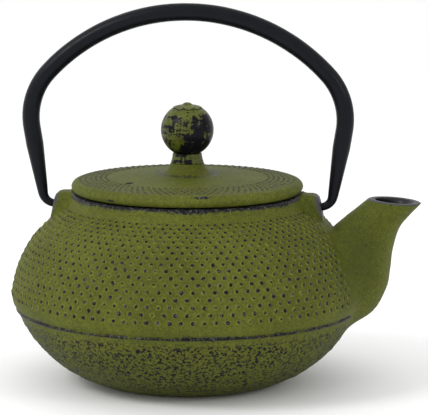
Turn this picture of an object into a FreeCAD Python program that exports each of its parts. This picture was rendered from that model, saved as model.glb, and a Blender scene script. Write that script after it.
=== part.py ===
import FreeCAD, Part
import math
import os
import re

import Sketcher
from FreeCAD import Placement, Rotation, Vector

# Cast iron teapot with a swinging bail handle, a loose lid and a steel infuser basket.
# Millimetres, +Z up. The origin is on the pot's axis at the level it stands on, and +X
# points to the spout.

os.makedirs("parts", exist_ok=True)
doc = FreeCAD.newDocument("teapot")

# ---------------------------------------------------------------- driving dimensions

DIMENSIONS = {
    # pot, outside: foot, bowl, ridge line, belly, shoulder and collar
    "foot_radius": 34.9,
    "bowl_mid_radius": 55.7,
    "bowl_mid_height": 11.0,
    "bowl_top_radius": 69.1,
    "ridge_radius": 69.8,
    "ridge_height": 30.4,
    "ridge_width": 1.2,
    "waist_radius": 69.4,
    "turn_radius": 71.0,
    "turn_height": 33.2,
    "belly_radius": 71.1,
    "belly_height": 36.8,
    "shoulder_mid_radius": 64.7,
    "shoulder_mid_height": 55.5,
    "shoulder_radius": 50.4,
    "shoulder_height": 70.4,
    "collar_foot_radius": 47.6,
    "collar_foot_height": 73.2,
    "collar_sweep_radius": 48.5,
    "collar_sweep_height": 71.9,
    "collar_radius": 46.9,
    "collar_top": 77.3,
    # pot, inside
    "wall": 3.2,
    "floor_top": 4.2,
    "floor_radius": 32.0,
    "ceiling_radius": 47.4,
    "ceiling_height": 67.4,
    "throat_radius": 38.6,
    "throat_foot_height": 69.4,
    "seat_radius": 42.0,
    "seat_height": 73.2,
    # bail lugs
    "lug_width": 12.0,
    "lug_top": 77.5,
    "lug_top_reach": 53.4,
    "lug_foot_reach": 56.3,
    "lug_foot_height": 63.0,
    "lug_root": 45.0,
    "lug_round": 2.2,
    "lug_hole_radius": 2.1,
    "lug_hole_end": 48.2,
    # spout mouth
    "mouth_inner_x": 73.6,
    "mouth_inner_z": 75.7,
    "mouth_outer_x": 95.6,
    "mouth_outer_z": 74.0,
    "spout_wall": 2.3,
    # bail handle
    "pivot_height": 72.0,
    "bail_apex": 150.3,
    "bail_top_arc": 77.1,
    "bail_top_angle": 47.2,
    "bail_shoulder_arc": 26.9,
    "bail_lean": 9.15,
    "bail_radius": 3.58,
    "bail_taper_top": 96.0,
    "bail_foot_radius": 2.15,
    "hook_radius": 1.65,
    "hook_bend": 5.0,
    "hook_end": 49.6,
    # lid
    "lid_radius": 47.0,
    "lid_bottom": 77.7,
    "lid_edge_height": 80.1,
    "lid_edge_top": 82.5,
    "lid_edge_fall": 0.5,
    "lid_edge_tuck": 0.6,
    "lid_lip": 2.2,
    "lid_shelf_radius": 43.6,
    "lid_rise": 85.2,
    "lid_underside": 79.6,
    "lid_inner_rise": 81.8,
    "boss_foot_radius": 11.6,
    "boss_sweep_radius": 8.1,
    "boss_sweep_height": 86.2,
    "boss_radius": 6.9,
    "boss_top": 89.4,
    "flange_radius": 40.6,
    "flange_wall": 2.4,
    "flange_bottom": 74.6,
    "vent_radius": 1.6,
    "vent_x": -21.0,
    "vent_y": -21.0,
    # knob
    "ball_radius": 10.7,
    "ball_height": 102.8,
    "cap_radius": 6.4,
    "cap_height": 112.8,
    "cap_lean": 1.4,
    "cap_round": 0.6,
    "nub_radius": 1.9,
    "knob_top": 113.6,
    "neck_foot_radius": 6.7,
    "neck_top_radius": 5.9,
    "neck_top": 93.4,
    "tang_radius": 2.0,
    "tang_clearance": 0.2,
    "washer_radius": 6.0,
    "washer_thickness": 1.0,
    "rivet_radius": 3.4,
    "rivet_height": 1.5,
    # infuser basket
    "rim_radius": 41.2,
    "rim_thickness": 0.6,
    "rim_skirt": 6.0,
    "basket_radius": 36.4,
    "basket_taper": 1.6,
    "mesh_thickness": 0.5,
    "basket_bottom": 30.0,
    "band_height": 4.0,
}

sheet = doc.addObject("Spreadsheet::Sheet", "dims")
for row, (alias, value) in enumerate(DIMENSIONS.items(), start=1):
    sheet.set(f"A{row}", alias)
    sheet.set(f"B{row}", str(value))
    sheet.setAlias(f"B{row}", alias)
doc.recompute()


def size(alias):
    """A driving dimension as a number."""
    return float(sheet.get(alias))


def expression(text, prefix="dims."):
    """A formula on the sheet's names, written the way setExpression wants it."""
    return re.sub(r"\b[a-z]\w*\b(?!\()", lambda name: prefix + name.group(), text)


def number(text):
    """The present value of such a formula."""
    return float(sheet.evalExpression(expression(text, prefix=".")))


# ---------------------------------------------------------------- drawing helpers

ORIGIN, X_AXIS, Y_AXIS = -1, -1, -2     # sketch reference geometry


def new_body(name):
    body = doc.addObject("PartDesign::Body", name)
    body.Label = name
    return body


def new_sketch(body, name, plane="XZ_Plane", offset=Placement()):
    """A sketch on one of its body's origin planes, moved by offset within it."""
    sketch = body.newObject("Sketcher::SketchObject", name)
    support = next(item for item in body.Origin.OriginFeatures if item.Role == plane)
    sketch.AttachmentSupport = [(support, "")]
    sketch.MapMode = "FlatFace"
    sketch.AttachmentOffset = offset
    return sketch


def pin_point(sketch, geometry, vertex, x, y):
    """Hold a sketch point at (x, y), both formulas on the sheet."""
    for kind, axis, text in (("DistanceX", Y_AXIS, x), ("DistanceY", X_AXIS, y)):
        if text == "0":
            sketch.addConstraint(Sketcher.Constraint("PointOnObject", geometry, vertex, axis))
            continue
        row = sketch.addConstraint(
            Sketcher.Constraint(kind, ORIGIN, 1, geometry, vertex, number(text)))
        sketch.setExpression(f"Constraints[{row}]", expression(text))


def draw_outline(sketch, corners):
    """A closed outline. A corner is (x, y), or (x, y, via_x, via_y) where an arc through
    the via point leads on to the next corner."""
    points = [Vector(number(corner[0]), number(corner[1]), 0) for corner in corners]
    ends = []
    for index, corner in enumerate(corners):
        start, stop = points[index], points[(index + 1) % len(points)]
        if len(corner) == 2:
            edge = sketch.addGeometry(Part.LineSegment(start, stop), False)
            first, last = 1, 2
        else:
            via = Vector(number(corner[2]), number(corner[3]), 0)
            edge = sketch.addGeometry(Part.ArcOfCircle(start, via, stop), False)
            anticlockwise = (via - start).cross(stop - via).z > 0
            first, last = (1, 2) if anticlockwise else (2, 1)
            mark = sketch.addGeometry(Part.Point(via), True)
            sketch.addConstraint(Sketcher.Constraint("PointOnObject", mark, 1, edge))
            pin_point(sketch, mark, 1, corner[2], corner[3])
        ends.append((edge, first, last))
    for index, corner in enumerate(corners):
        edge, first, _ = ends[index]
        before, _, last = ends[index - 1]
        sketch.addConstraint(Sketcher.Constraint("Coincident", before, last, edge, first))
        pin_point(sketch, edge, first, corner[0], corner[1])


def turned_body(name, corners):
    """A body revolved about the vertical axis from an outline of (radius, height) corners."""
    body = new_body(name)
    sketch = new_sketch(body, f"{name}_outline")
    draw_outline(sketch, corners)
    feature = body.newObject("PartDesign::Revolution", f"{name}_turned")
    feature.Profile = sketch
    feature.ReferenceAxis = (sketch, ["V_Axis"])
    feature.Angle = 360
    doc.recompute()
    return body


def feature_of(name, shape):
    """A document object that holds a shape built from the sheet's values."""
    holder = doc.addObject("Part::Feature", name)
    holder.Shape = shape
    return holder


# ---------------------------------------------------------------- pot body

def pot_outside():
    body = turned_body("pot_outside", [
        ("0", "0"),
        ("foot_radius", "0", "bowl_mid_radius", "bowl_mid_height"),
        ("bowl_top_radius", "ridge_height - ridge_width / 2"),
        ("ridge_radius", "ridge_height - ridge_width / 4"),
        ("ridge_radius", "ridge_height + ridge_width / 4"),
        ("waist_radius", "ridge_height + ridge_width / 2", "turn_radius", "turn_height"),
        ("belly_radius", "belly_height", "shoulder_mid_radius", "shoulder_mid_height"),
        ("shoulder_radius", "shoulder_height", "collar_sweep_radius", "collar_sweep_height"),
        ("collar_foot_radius", "collar_foot_height"),
        ("collar_radius", "collar_top"),
        ("0", "collar_top"),
    ])
    for side in (-1, 1):
        add_lug(body, side)
    return body


def add_lug(body, side):
    """The ear that one end of the bail hooks into, drawn in the plane of the bail."""
    name = "spout_side_lug" if side > 0 else "far_side_lug"
    turn = Placement(Vector(), Rotation(Vector(0, 1, 0), 0 if side > 0 else 180))
    sketch = new_sketch(body, f"{name}_outline", offset=turn)
    draw_outline(sketch, [
        ("lug_root", "lug_foot_height"),
        ("lug_foot_reach", "lug_foot_height"),
        ("lug_top_reach", "lug_top - lug_round",
         "lug_top_reach - lug_round * 0.3", "lug_top - lug_round * 0.3"),
        ("lug_top_reach - lug_round", "lug_top"),
        ("lug_root", "lug_top"),
    ])
    pad = body.newObject("PartDesign::Pad", name)
    pad.Profile = sketch
    pad.SideType = "Symmetric"
    pad.setExpression("Length", "dims.lug_width")
    doc.recompute()


def pot_inside():
    """The hollow of the pot, from its floor up through the infuser's seat."""
    return turned_body("pot_inside", [
        ("0", "floor_top"),
        ("floor_radius", "floor_top",
         "bowl_mid_radius - wall * 0.72", "bowl_mid_height + wall * 0.72"),
        ("bowl_top_radius - wall", "ridge_height"),
        ("belly_radius - wall", "belly_height",
         "shoulder_mid_radius - wall * 0.85", "shoulder_mid_height - wall * 0.53"),
        ("ceiling_radius", "ceiling_height"),
        ("throat_radius", "throat_foot_height"),
        ("throat_radius", "seat_height"),
        ("seat_radius", "seat_height"),
        ("seat_radius", "collar_top + wall"),
        ("0", "collar_top + wall"),
    ])


# Each section of the spout: the top and bottom points of its outline in the plane y = 0,
# as (x, z), and its width across. The first lies inside the pot's wall, the last beyond
# the mouth.
SPOUT_SECTIONS = [
    ((50.0, 57.0), (60.0, 22.0), 37.0),
    ((57.8, 62.6), (74.6, 28.6), 32.5),
    ((60.6, 65.2), (81.0, 38.9), 28.5),
    ((62.6, 66.9), (82.6, 47.3), 25.5),
    ((64.8, 68.8), (83.5, 55.2), 23.0),
    ((68.3, 71.6), (86.0, 63.9), 20.6),
    ((73.0, 75.5), (90.0, 69.2), 19.6),
    ((76.6, 78.3), (93.4, 72.8), 19.4),
    ((80.0, 81.0), (96.8, 76.4), 19.4),
]
SECTION_POINTS = 12


def spout_section(top, bottom, width, inset):
    """One closed ring across the spout, drawn in by inset all round."""
    top, bottom = Vector(top[0], 0, top[1]), Vector(bottom[0], 0, bottom[1])
    centre = (top + bottom) / 2
    rise = top - bottom
    half_height = rise.Length / 2 - inset
    half_width = width / 2 - inset
    rise.normalize()
    ring = []
    for step in range(SECTION_POINTS):
        angle = 2 * math.pi * step / SECTION_POINTS
        ring.append(centre + rise * (half_height * math.cos(angle))
                    + Vector(0, half_width * math.sin(angle), 0))
    curve = Part.BSplineCurve()
    curve.interpolate(ring, PeriodicFlag=True)
    return Part.Wire([curve.toShape()])


def spout_shape(inset):
    wires = [spout_section(top, bottom, width, inset) for top, bottom, width in SPOUT_SECTIONS]
    return Part.makeLoft(wires, True, False)


def above_the_mouth():
    """A block that holds everything beyond the spout's mouth."""
    inner = Vector(size("mouth_inner_x"), 0, size("mouth_inner_z"))
    outer = Vector(size("mouth_outer_x"), 0, size("mouth_outer_z"))
    along = (outer - inner).normalize()
    up = Vector(-along.z, 0, along.x)
    reach = (outer - inner).Length
    face = [inner - along * reach, outer + along * reach]
    face += [face[1] + up * reach, face[0] + up * reach]
    plate = Part.Face(Part.makePolygon(face + face[:1]))
    block = plate.extrude(Vector(0, 2 * reach, 0))
    block.translate(Vector(0, -reach, 0))
    return block


def lug_hole(side):
    """The blind hole, along the pivot axis, that takes one hook of the bail."""
    hole = doc.addObject("Part::Cylinder", "lug_hole")
    hole.setExpression("Radius", "dims.lug_hole_radius")
    hole.setExpression("Height", "dims.lug_foot_reach - dims.lug_hole_end")
    hole.Placement = Placement(Vector(side * size("lug_hole_end"), 0, size("pivot_height")),
                               Rotation(Vector(0, 1, 0), side * 90))
    return hole


def pot_body():
    horn = feature_of("spout_horn", spout_shape(0).cut(above_the_mouth()))
    shell = doc.addObject("Part::MultiFuse", "pot_blank")
    shell.Shapes = [pot_outside(), horn]
    hollow = doc.addObject("Part::MultiFuse", "pot_hollow")
    hollow.Shapes = [pot_inside(), feature_of("spout_bore", spout_shape(size("spout_wall"))),
                     lug_hole(1), lug_hole(-1)]
    pot = doc.addObject("Part::Cut", "pot_body")
    pot.Base, pot.Tool = shell, hollow
    pot.Label = "pot_body"
    return pot


# ---------------------------------------------------------------- bail handle

def bail_line():
    """Points, directions and bar radii down one side of the bail, from its apex to the end
    of its hook: an arc over the top, a tighter arc at the shoulder, a straight leg, a bend
    and the hook itself, which lies on the pivot axis."""
    top_arc, shoulder_arc = size("bail_top_arc"), size("bail_shoulder_arc")
    top_angle = math.radians(size("bail_top_angle"))
    leg_angle = math.radians(90 + size("bail_lean"))
    bend, pivot = size("hook_bend"), size("pivot_height")
    top_centre = Vector(0, 0, size("bail_apex") - top_arc)

    def radial(angle):
        return Vector(math.sin(angle), 0, math.cos(angle))

    def tangent(angle):
        return Vector(math.cos(angle), 0, -math.sin(angle))

    stations = []
    for step in range(5):
        angle = top_angle * step / 5
        stations.append((top_centre + radial(angle) * top_arc, tangent(angle)))
    shoulder_centre = top_centre + radial(top_angle) * (top_arc - shoulder_arc)
    for step in range(5):
        angle = top_angle + (leg_angle - top_angle) * step / 4
        stations.append((shoulder_centre + radial(angle) * shoulder_arc, tangent(angle)))

    leg_start, down = stations[-1]
    # The bend turns the leg into the pivot axis, so it starts this far above that axis.
    bend_start = pivot + bend + radial(leg_angle).z * bend
    leg_length = (leg_start.z - bend_start) / -down.z
    for share in (0.25, 0.5, 0.75, 0.9, 1.0):
        stations.append((leg_start + down * (leg_length * share), down))
    bend_centre = stations[-1][0] - radial(leg_angle) * bend
    for share in (0.33, 0.67, 1.0):
        angle = leg_angle + (math.pi - leg_angle) * share
        stations.append((bend_centre + radial(angle) * bend, tangent(angle)))
    hook_start = stations[-1][0]
    stations.append((Vector((hook_start.x + size("hook_end")) / 2, 0, pivot), tangent(math.pi)))
    stations.append((Vector(size("hook_end"), 0, pivot), tangent(math.pi)))
    return [(point, along, bar_radius(point, along)) for point, along in stations]


def bar_radius(point, along):
    """The bar keeps its size over the top and tapers down the legs into the hooks."""
    full, foot, hook = size("bail_radius"), size("bail_foot_radius"), size("hook_radius")
    taper_top, taper_foot = size("bail_taper_top"), size("pivot_height") + size("hook_bend")
    if point.z >= taper_top:
        return full
    if point.z >= taper_foot:
        return foot + (full - foot) * (point.z - taper_foot) / (taper_top - taper_foot)
    turned_in = min(1.0, max(0.0, -along.x))
    return foot + (hook - foot) * turned_in


def section_circle(point, direction, radius):
    """A circle across the bar. Its seam stays on the bar's side that faces -Y."""
    circle = Part.Circle(point, direction, radius)
    circle.XAxis = Vector(0, -1, 0)
    return Part.Wire([circle.toShape()])


def bail_handle():
    """The wrought bar, lofted through round sections from one hook to the other."""
    side = bail_line()
    wires = [section_circle(Vector(-point.x, 0, point.z), Vector(along.x, 0, -along.z), radius)
             for point, along, radius in reversed(side)]
    wires += [section_circle(point, along, radius) for point, along, radius in side[1:]]
    return feature_of("bail_handle", Part.makeLoft(wires, True, False))


# ---------------------------------------------------------------- lid and knob

def lid():
    body = turned_body("lid", [
        ("tang_radius + tang_clearance", "boss_top"),
        ("boss_radius", "boss_top", "boss_sweep_radius", "boss_sweep_height"),
        ("boss_foot_radius", "lid_rise"),
        ("lid_shelf_radius", "lid_edge_top",
         "(lid_radius * 2 + lid_shelf_radius) / 3", "lid_edge_top - lid_edge_fall"),
        ("lid_radius", "lid_edge_height",
         "lid_radius - lid_edge_tuck", "lid_bottom + lid_edge_tuck * 1.5"),
        ("lid_radius - lid_lip", "lid_bottom"),
        ("flange_radius", "lid_bottom"),
        ("flange_radius", "flange_bottom"),
        ("flange_radius - flange_wall", "flange_bottom"),
        ("flange_radius - flange_wall", "lid_underside"),
        ("boss_foot_radius", "lid_inner_rise"),
        ("tang_radius + tang_clearance", "lid_inner_rise"),
    ])
    vent = new_sketch(body, "vent_circle", plane="XY_Plane")
    hole = vent.addGeometry(Part.Circle(Vector(number("vent_x"), number("vent_y"), 0),
                                        Vector(0, 0, 1), number("vent_radius")), False)
    pin_point(vent, hole, 3, "vent_x", "vent_y")
    row = vent.addConstraint(Sketcher.Constraint("Radius", hole, number("vent_radius")))
    vent.setExpression(f"Constraints[{row}]", "dims.vent_radius")
    pocket = body.newObject("PartDesign::Pocket", "steam_vent")
    pocket.Profile = vent
    pocket.Type = "ThroughAll"
    pocket.Reversed = True
    doc.recompute()
    return body


def lid_knob():
    """Ball, cap and nub in one with the tang that holds the knob to the lid."""
    return turned_body("lid_knob", [
        ("0", "lid_inner_rise - washer_thickness - rivet_height"),
        ("rivet_radius * 0.7", "lid_inner_rise - washer_thickness - rivet_height"),
        ("rivet_radius", "lid_inner_rise - washer_thickness - rivet_height * 0.4"),
        ("rivet_radius", "lid_inner_rise - washer_thickness"),
        ("tang_radius", "lid_inner_rise - washer_thickness"),
        ("tang_radius", "neck_top"),
        ("sqrt(ball_radius ^ 2 - (ball_height - neck_top) ^ 2)", "neck_top",
         "ball_radius", "ball_height"),
        ("cap_radius", "ball_height + sqrt(ball_radius ^ 2 - cap_radius ^ 2)"),
        ("cap_radius - cap_lean", "cap_height - cap_round"),
        ("nub_radius", "cap_height"),
        ("nub_radius * 0.8", "knob_top - cap_round"),
        ("0", "knob_top"),
    ])


def knob_neck():
    return turned_body("knob_neck", [
        ("tang_radius + tang_clearance", "boss_top"),
        ("neck_foot_radius", "boss_top"),
        ("neck_top_radius", "neck_top"),
        ("tang_radius + tang_clearance", "neck_top"),
    ])


def knob_washer():
    return turned_body("knob_washer", [
        ("tang_radius + tang_clearance", "lid_inner_rise - washer_thickness"),
        ("washer_radius", "lid_inner_rise - washer_thickness"),
        ("washer_radius", "lid_inner_rise"),
        ("tang_radius + tang_clearance", "lid_inner_rise"),
    ])


# ---------------------------------------------------------------- infuser basket

def infuser_rim():
    """The flat steel rim that rests on the pot's seat, with its short skirt."""
    return turned_body("infuser_rim", [
        ("basket_radius", "seat_height - rim_skirt"),
        ("basket_radius + rim_thickness", "seat_height - rim_skirt"),
        ("basket_radius + rim_thickness", "seat_height"),
        ("rim_radius", "seat_height"),
        ("rim_radius", "seat_height + rim_thickness"),
        ("basket_radius", "seat_height + rim_thickness"),
    ])


def infuser_mesh_wall():
    """The mesh tube, tucked inside the rim's skirt and tapering a little downwards."""
    return turned_body("infuser_mesh_wall", [
        ("basket_radius - basket_taper - mesh_thickness", "basket_bottom + mesh_thickness"),
        ("basket_radius - basket_taper", "basket_bottom + mesh_thickness"),
        ("basket_radius", "seat_height - rim_skirt"),
        ("basket_radius", "seat_height - rim_skirt / 3"),
        ("basket_radius - mesh_thickness", "seat_height - rim_skirt / 3"),
        ("basket_radius - mesh_thickness", "seat_height - rim_skirt"),
    ])


def infuser_mesh_base():
    return turned_body("infuser_mesh_base", [
        ("0", "basket_bottom"),
        ("basket_radius - basket_taper", "basket_bottom"),
        ("basket_radius - basket_taper", "basket_bottom + mesh_thickness"),
        ("0", "basket_bottom + mesh_thickness"),
    ])


def infuser_band():
    """The steel band that clamps the mesh base to the mesh wall."""
    return turned_body("infuser_band", [
        ("basket_radius - basket_taper", "basket_bottom"),
        ("basket_radius - basket_taper + mesh_thickness", "basket_bottom"),
        ("basket_radius - basket_taper + mesh_thickness", "basket_bottom + band_height"),
        ("basket_radius - basket_taper + mesh_thickness / 2", "basket_bottom + band_height"),
        ("basket_radius - basket_taper", "basket_bottom + mesh_thickness"),
    ])


# ---------------------------------------------------------------- build and write

nodes = [pot_body(), bail_handle(), lid(), lid_knob(), knob_neck(), knob_washer(),
         infuser_rim(), infuser_mesh_wall(), infuser_mesh_base(), infuser_band()]
doc.recompute()

for item in doc.Objects:
    if "Invalid" in item.State or "Error" in item.State:
        raise RuntimeError(f"{item.Label} failed: {item.State}")
for node in nodes:
    if node.Shape.isNull() or not node.Shape.isValid():
        raise RuntimeError(f"{node.Label} has no valid shape")
for node in nodes:
    box = node.Shape.optimalBoundingBox()
    print(f"{node.Label}: {len(node.Shape.Solids)} solid, {node.Shape.Volume:.0f} mm3, "
          f"x {box.XMin:.1f}..{box.XMax:.1f} y {box.YMin:.1f}..{box.YMax:.1f} "
          f"z {box.ZMin:.1f}..{box.ZMax:.1f}")
    node.Shape.exportStep(f"parts/{node.Label}.step")
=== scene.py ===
from functools import partialmethod
from math import atan2, copysign, cos, dist, exp, hypot, pi, radians, sin, sqrt

import bpy
import numpy as np
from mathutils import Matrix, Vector, noise
from mathutils.geometry import delaunay_2d_cdt


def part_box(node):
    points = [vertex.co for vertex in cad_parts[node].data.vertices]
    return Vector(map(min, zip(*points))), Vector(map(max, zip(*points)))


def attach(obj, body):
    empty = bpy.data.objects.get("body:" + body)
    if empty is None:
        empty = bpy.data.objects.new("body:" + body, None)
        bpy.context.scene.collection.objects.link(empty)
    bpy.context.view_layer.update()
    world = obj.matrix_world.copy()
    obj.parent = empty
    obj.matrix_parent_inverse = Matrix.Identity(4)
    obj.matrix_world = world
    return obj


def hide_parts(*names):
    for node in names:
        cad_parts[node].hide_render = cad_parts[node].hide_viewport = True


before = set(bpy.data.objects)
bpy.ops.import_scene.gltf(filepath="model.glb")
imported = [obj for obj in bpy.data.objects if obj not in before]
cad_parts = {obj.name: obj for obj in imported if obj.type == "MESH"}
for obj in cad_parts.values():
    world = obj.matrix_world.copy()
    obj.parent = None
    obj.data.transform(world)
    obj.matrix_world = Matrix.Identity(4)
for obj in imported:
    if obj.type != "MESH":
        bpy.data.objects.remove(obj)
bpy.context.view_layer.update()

# Lengths below are millimetres, written as they are in the CAD outline and scaled to the
# frame's metres when a mesh is made. Heights that the frame already holds come from it.
MM = 0.001
TURN = 2 * pi
FRONT = -pi / 2  # where the turned surfaces start and close
UP = np.array([0.0, 0.0, 1.0])


def box_mm(node):
    return [[value / MM for value in corner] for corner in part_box(node)]


POT_HIGH = box_mm("pot_body")[1]
LID_LOW, LID_HIGH = box_mm("lid")
KNOB_LOW, KNOB_HIGH = box_mm("lid_knob")
NECK_LOW, NECK_HIGH = box_mm("knob_neck")
BAIL_HIGH = box_mm("bail_handle")[1]
WALL_LOW, WALL_HIGH = box_mm("infuser_mesh_wall")
BASE_LOW, BASE_HIGH = box_mm("infuser_mesh_base")

rng = np.random.default_rng(7)


# ---- mesh making

OFF_SURFACE = (-99.0, -99.0)  # the place of a point that isn't on a turned surface
WEAR_KINDS = ("tip", "edge", "high", "skin")  # what the paint's wear can be read from; tip also drives the painted highlight on the bumps' sides, and edge the painted shade in the knob's groove


def steps(first, last, count):
    """Equal steps from first to last."""
    return [first + (last - first) * i / count for i in range(count + 1)]


def turns(count, start=0.0, sense=1):
    """The angles of a full turn in equal steps."""
    return [start + sense * TURN * k / count for k in range(count)]


def polar(radius, angle, height=0.0):
    return radius * cos(angle), radius * sin(angle), height


def unit(vector):
    return vector / np.linalg.norm(vector)


class Maker:
    """Collects points with their wear values, which also drive painted highlight and shade, and
    faces with their material.
    """

    def __init__(self):
        self.points, self.place, self.wear, self.faces, self.finish = [], [], [], [], []

    def add(self, point, place=OFF_SURFACE, **wear):
        self.points.append(point)
        self.place.append(place)
        self.wear.append(wear)
        return len(self.points) - 1

    def face(self, *corners, finish=0):
        self.faces.append(corners)
        self.finish.append(finish)

    def strip(self, lower, upper, finish=0):
        """Quads between two closed rings, or triangles where one has twice the points."""
        count, above = len(lower), len(upper)
        for i in range(min(count, above)):
            j = (i + 1) % min(count, above)
            a, b, c, d = lower[i], lower[j], upper[j], upper[i]
            faces = [(a, b, c, d)]
            if count > above:
                a, mid, b = lower[2 * i], lower[2 * i + 1], lower[(2 * i + 2) % count]
                faces = [(a, mid, d), (mid, c, d), (mid, b, c)]
            elif above > count:
                d, mid, c = upper[2 * i], upper[2 * i + 1], upper[(2 * i + 2) % above]
                faces = [(a, mid, d), (a, b, mid), (b, c, mid)]
            for face in faces:
                self.face(*face, finish=finish)

    def strips(self, rings, finish=0):
        for lower, upper in zip(rings[:-1], rings[1:]):
            self.strip(lower, upper, finish)

    def fan(self, ring, centre, up=True, finish=0):
        for pair in zip(ring, ring[1:] + ring[:1]):
            self.face(*(pair if up else pair[::-1]), centre, finish=finish)

    def piece(self, name, materials):
        """The finished object, in metres."""
        used = np.unique(np.concatenate([np.asarray(face) for face in self.faces]))
        renumber = {int(old): new for new, old in enumerate(used)}
        mesh = bpy.data.meshes.new(name)
        mesh.from_pydata([Vector(self.points[old]) * MM for old in used], [],
                         [[renumber[corner] for corner in face] for face in self.faces])
        for kind in WEAR_KINDS:
            layer = mesh.attributes.new(kind, "FLOAT", "POINT")
            layer.data.foreach_set("value", [self.wear[old].get(kind, 0.0) for old in used])
        for material in materials:
            mesh.materials.append(material)
        mesh.polygons.foreach_set("material_index", self.finish)
        mesh.polygons.foreach_set("use_smooth", [True] * len(self.faces))
        mesh.update()
        return place_object(name, mesh)


def place_object(name, data):
    obj = bpy.data.objects.new(name, data)
    bpy.context.scene.collection.objects.link(obj)
    return obj


def arc(start, via, stop, count=12):
    """Points of the arc from start through via to stop, without its last point."""
    (ax, ay), (bx, by), (cx, cy) = start, via, stop
    system = np.array([[bx - ax, by - ay], [cx - ax, cy - ay]])
    sides = np.array([bx * bx - ax * ax + by * by - ay * ay,
                      cx * cx - ax * ax + cy * cy - ay * ay]) / 2
    centre = np.linalg.solve(system, sides)
    radius = dist(centre, start)
    first, middle, last = (atan2(y - centre[1], x - centre[0]) for x, y in (start, via, stop))
    turn = (last - first) % (TURN)
    if (middle - first) % (TURN) > turn:
        turn -= TURN
    angles = [first + turn * i / count for i in range(count)]
    return [(centre[0] + radius * cos(a), centre[1] + radius * sin(a)) for a in angles]


class Outline:
    """A half section (radius, height) walked by its length."""

    def __init__(self, points):
        self.points = np.array(points, dtype=float)
        steps = np.hypot(*np.diff(self.points, axis=0).T)
        self.length = np.concatenate([[0.0], np.cumsum(steps)])
        self.total = self.length[-1]

    def at(self, where):
        return [float(np.interp(where, self.length, axis)) for axis in self.points.T]

    def normal(self, where, reach=0.6):
        """The outward normal in the section: the outline runs with the metal on its left."""
        (r0, z0), (r1, z1) = self.at(where - reach), self.at(where + reach)
        size = hypot(r1 - r0, z1 - z0) or 1.0
        return (z1 - z0) / size, -(r1 - r0) / size

    def where(self, radius, height):
        """The length at which the outline passes nearest to a point."""
        gap = np.hypot(self.points[:, 0] - radius, self.points[:, 1] - height)
        return float(self.length[int(np.argmin(gap))])

    def wheres(self, *spots):
        return [self.where(*spot) for spot in spots]


def dense(points, step=0.4):
    """The same outline with extra points on its long stretches."""
    result = []
    for start, stop in zip(points[:-1], points[1:]):
        pieces = max(1, int(dist(start, stop) / step))
        for i in range(pieces):
            share = i / pieces
            result.append((start[0] + (stop[0] - start[0]) * share,
                           start[1] + (stop[1] - start[1]) * share))
    return result + [points[-1]]


def ease(low, high, value):
    share = min(1.0, max(0.0, (value - low) / (high - low)))
    return share * share * (3 - 2 * share)


# ---- turned surfaces

def turned_surface(maker, outline):
    """A function that adds a point of a turned surface to the maker. turn is the share of a
    full turn, where the length along the outline; offset and angle step aside on the
    surface, and rise lifts the point off it."""
    def add(turn, where, offset=0.0, angle=0.0, rise=0.0, **wear):
        radius, _ = outline.at(where)
        where += offset * sin(angle)
        turn_angle = FRONT + TURN * turn
        if offset:
            turn_angle += offset * cos(angle) / radius
        radius, height = outline.at(where)
        if rise:
            across, upward = outline.normal(where)
            radius += across * rise
            height += upward * rise
        return maker.add(polar(radius, turn_angle, height), (turn_angle, where), **wear)
    return add


FOOT_STEPS = 12  # points round the foot of one bump
BUMP_RINGS = ((1.0, 0.0, 0.05), (0.58, 0.78, 0.6))  # share of size, height and wear; the wear value also drives the painted highlight on the bump's sides


def relief(maker, outline, rows, number, foot, height, fade):
    """Rows of small round bumps in staggered order, tiled over a turned surface; foot is
    their radius as a share of their spacing. Returns the rings of cell corners."""
    surface = turned_surface(maker, outline)
    around = 2 * number
    padded = [2 * rows[0] - rows[1]] + rows + [2 * rows[-1] - rows[-2]]
    corners = []
    for row, (below, above) in enumerate(zip(padded[:-1], padded[1:])):
        # a corner lies nearer the upper row where it stands over a bump of the lower one
        shares = [2 / 3 if (k - row) % 2 else 1 / 3 for k in range(around)]
        corners.append([surface(k / around, below + (above - below) * share)
                        for k, share in enumerate(shares)])
    for row, where in enumerate(rows):
        low, high = corners[row], corners[row + 1]
        radius, level = outline.at(where)
        for k in range(row % 2, around, 2):
            turn, after = k / around, (k + 1) % around
            size = foot * TURN * radius / number * rng.uniform(0.94, 1.06)
            strength = fade(FRONT + TURN * turn, level)
            rise = height * strength * rng.uniform(0.85, 1.1)
            # this scales the tip value, which drives both the worn tip and the painted highlight
            # on the bump's sides
            wear = strength * rng.uniform(0.72, 1.12)
            outer, inner = [
                [surface(turn, where, size * share, angle, lift * rise, tip=tip * wear)
                 for angle in turns(FOOT_STEPS)] for share, lift, tip in BUMP_RINGS]
            centre = surface(turn, where, rise=rise, tip=wear)
            cell = [low[after], high[after], high[k], high[k - 1], low[k - 1], low[k]]
            for m in range(6):
                here, there, foot_here = cell[m], cell[(m + 1) % 6], outer[2 * m]
                maker.face(here, there, foot_here)
                maker.face(here, foot_here, outer[2 * m - 1])
                maker.face(there, outer[2 * m + 1], foot_here)
            maker.strip(outer, inner)
            maker.fan(inner, centre)
    return corners


# ---- openings cut in a surface

def inside(polygon, points):
    """Which of the points lie in the polygon."""
    x, y = points[:, 0], points[:, 1]
    result = np.zeros(len(points), dtype=bool)
    for (ax, ay), (bx, by) in zip(polygon, np.roll(polygon, -1, axis=0)):
        crosses = (ay > y) != (by > y)
        if crosses.any():
            result ^= crosses & (x < (bx - ax) * (y - ay) / ((by - ay) or 1e-12) + ax)
    return result


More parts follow.
